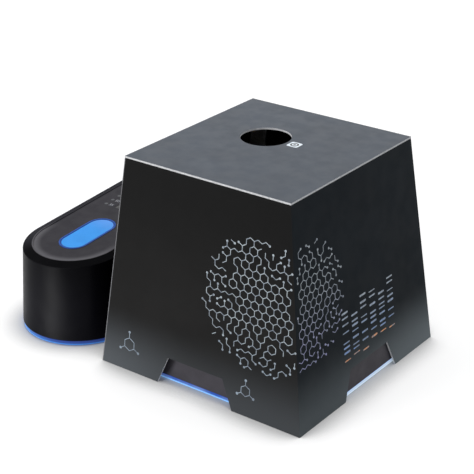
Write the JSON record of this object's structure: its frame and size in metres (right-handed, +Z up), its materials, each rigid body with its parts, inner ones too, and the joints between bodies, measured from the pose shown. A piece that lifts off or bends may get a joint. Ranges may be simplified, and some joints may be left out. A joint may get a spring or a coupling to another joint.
{
  "type": "gel electrophoresis system",
  "caption": "Bench gel electrophoresis unit: control pod joined to a blue-lit gel bay with tank, tray and amber lid, under a lift-off tapered photo hood with a camera hole.",
  "frame": {"origin": "on the table, in the middle of the instrument's length and depth", "axes": "+X from the control pod to the gel unit, +Y to the back, +Z up"},
  "size_m": [0.3204, 0.214, 0.186],
  "materials": {
    "black_gloss": "glossy moulded",
    "black_plastic": "matte moulded",
    "glow_blue": "translucent, lit from inside",
    "panel_grey": "fine matte sheet",
    "badge_azure": "satin",
    "badge_navy": "satin",
    "smoked_window": "polished",
    "lamp_clear": "frosted",
    "key_grey": "satin",
    "key_blue": "satin",
    "key_green": "satin",
    "switch_black": "matte",
    "circuit_board": "solder mask",
    "board_white": "solder mask",
    "ferrite": "matte",
    "capacitor_sleeve": "sleeve",
    "aluminium": "extruded",
    "rubber": "matte",
    "steel": "zinc plated",
    "ribbon_grey": "satin",
    "bay_grey": "fine matte moulded",
    "lamp_blue": "polished",
    "reflector_white": "matte",
    "diffuser": "frosted",
    "blue_glass": "polished",
    "brass": "gold plated",
    "clear_acrylic": "polished",
    "platinum": "drawn wire",
    "terminal_black": "satin",
    "terminal_red": "satin",
    "gel": "wet",
    "amber_acrylic": "polished",
    "hood_card": "printed matte with a raw white core"
  },
  "bodies": {
    "base": {"pod_housing": "black_gloss", "pod_base_plate": "black_plastic", "pod_glow_band": "glow_blue", "control_panel": "panel_grey", "badge_plate": "badge_azure", "badge_rim": "badge_navy", "display_window": "smoked_window", "display_module": "black_plastic", "indicator_lights": "lamp_clear", "key_switches": "switch_black", "control_board": "circuit_board", "power_board": "circuit_board", "transformer": "ferrite", "capacitors": "capacitor_sleeve", "heat_sink": "aluminium", "dc_inlet": "black_plastic", "pod_feet": "rubber", "pod_screws": "steel", "control_board_screws": "steel", "power_board_screws": "steel", "bridge_duct": "black_plastic", "ribbon_cable": "ribbon_grey", "ribbon_plugs": "black_plastic", "bay_housing": "bay_grey", "bay_base_plate": "black_plastic", "bay_glow_band": "glow_blue", "led_board": "board_white", "blue_leds": "lamp_blue", "reflector_frame": "reflector_white", "diffuser_plate": "diffuser", "filter_glass": "blue_glass", "contact_pins": "brass", "bay_feet": "rubber", "bay_screws": "steel", "led_board_screws": "steel"},
    "hood": {"hood_front_panel": "hood_card", "hood_right_panel": "hood_card", "hood_back_panel": "hood_card", "hood_left_panel": "hood_card", "hood_top_panel": "hood_card", "hood_front_tuck_flap": "hood_card", "hood_right_tuck_flap": "hood_card", "hood_left_tuck_flap": "hood_card", "hood_glue_flap": "hood_card"},
    "tank": {"buffer_tank": "clear_acrylic", "cathode_wire": "platinum", "anode_wire": "platinum", "cathode_terminal": "terminal_black", "anode_terminal": "terminal_red"},
    "tray": {"gel_tray": "clear_acrylic", "agarose_gel": "gel"},
    "lid": {"safety_lid": "amber_acrylic", "lid_grips": "black_plastic"},
    "voltage_button": {"voltage_button": "key_grey"},
    "timer_button": {"timer_button": "key_grey"},
    "light_button": {"light_button": "key_blue"},
    "run_button": {"run_button": "key_green"}
  },
  "joints": [
    {"name": "hood_lift", "type": "slide", "parent": "base", "child": "hood", "axis": [0, 0, 1], "range_m": [0, 0.12]},
    {"name": "tank_lift", "type": "slide", "parent": "base", "child": "tank", "axis": [0, 0, 1], "range_m": [0, 0.04]},
    {"name": "lid_lift", "type": "slide", "parent": "tank", "child": "lid", "axis": [0, 0, 1], "range_m": [0, 0.04]},
    {"name": "tray_lift", "type": "slide", "parent": "tank", "child": "tray", "axis": [0, 0, 1], "range_m": [0, 0.016]},
    {"name": "voltage_press", "type": "slide", "parent": "base", "child": "voltage_button", "axis": [0, 0.0718, -0.9974], "range_m": [0, 0.0012], "stiffness_N_per_m": 400, "springref_m": -0.001},
    {"name": "timer_press", "type": "slide", "parent": "base", "child": "timer_button", "axis": [0, 0.0718, -0.9974], "range_m": [0, 0.0012], "stiffness_N_per_m": 400, "springref_m": -0.001},
    {"name": "light_press", "type": "slide", "parent": "base", "child": "light_button", "axis": [0, 0.0718, -0.9974], "range_m": [0, 0.0012], "stiffness_N_per_m": 400, "springref_m": -0.001},
    {"name": "run_press", "type": "slide", "parent": "base", "child": "run_button", "axis": [0, 0.0718, -0.9974], "range_m": [0, 0.0012], "stiffness_N_per_m": 400, "springref_m": -0.001}
  ]
}
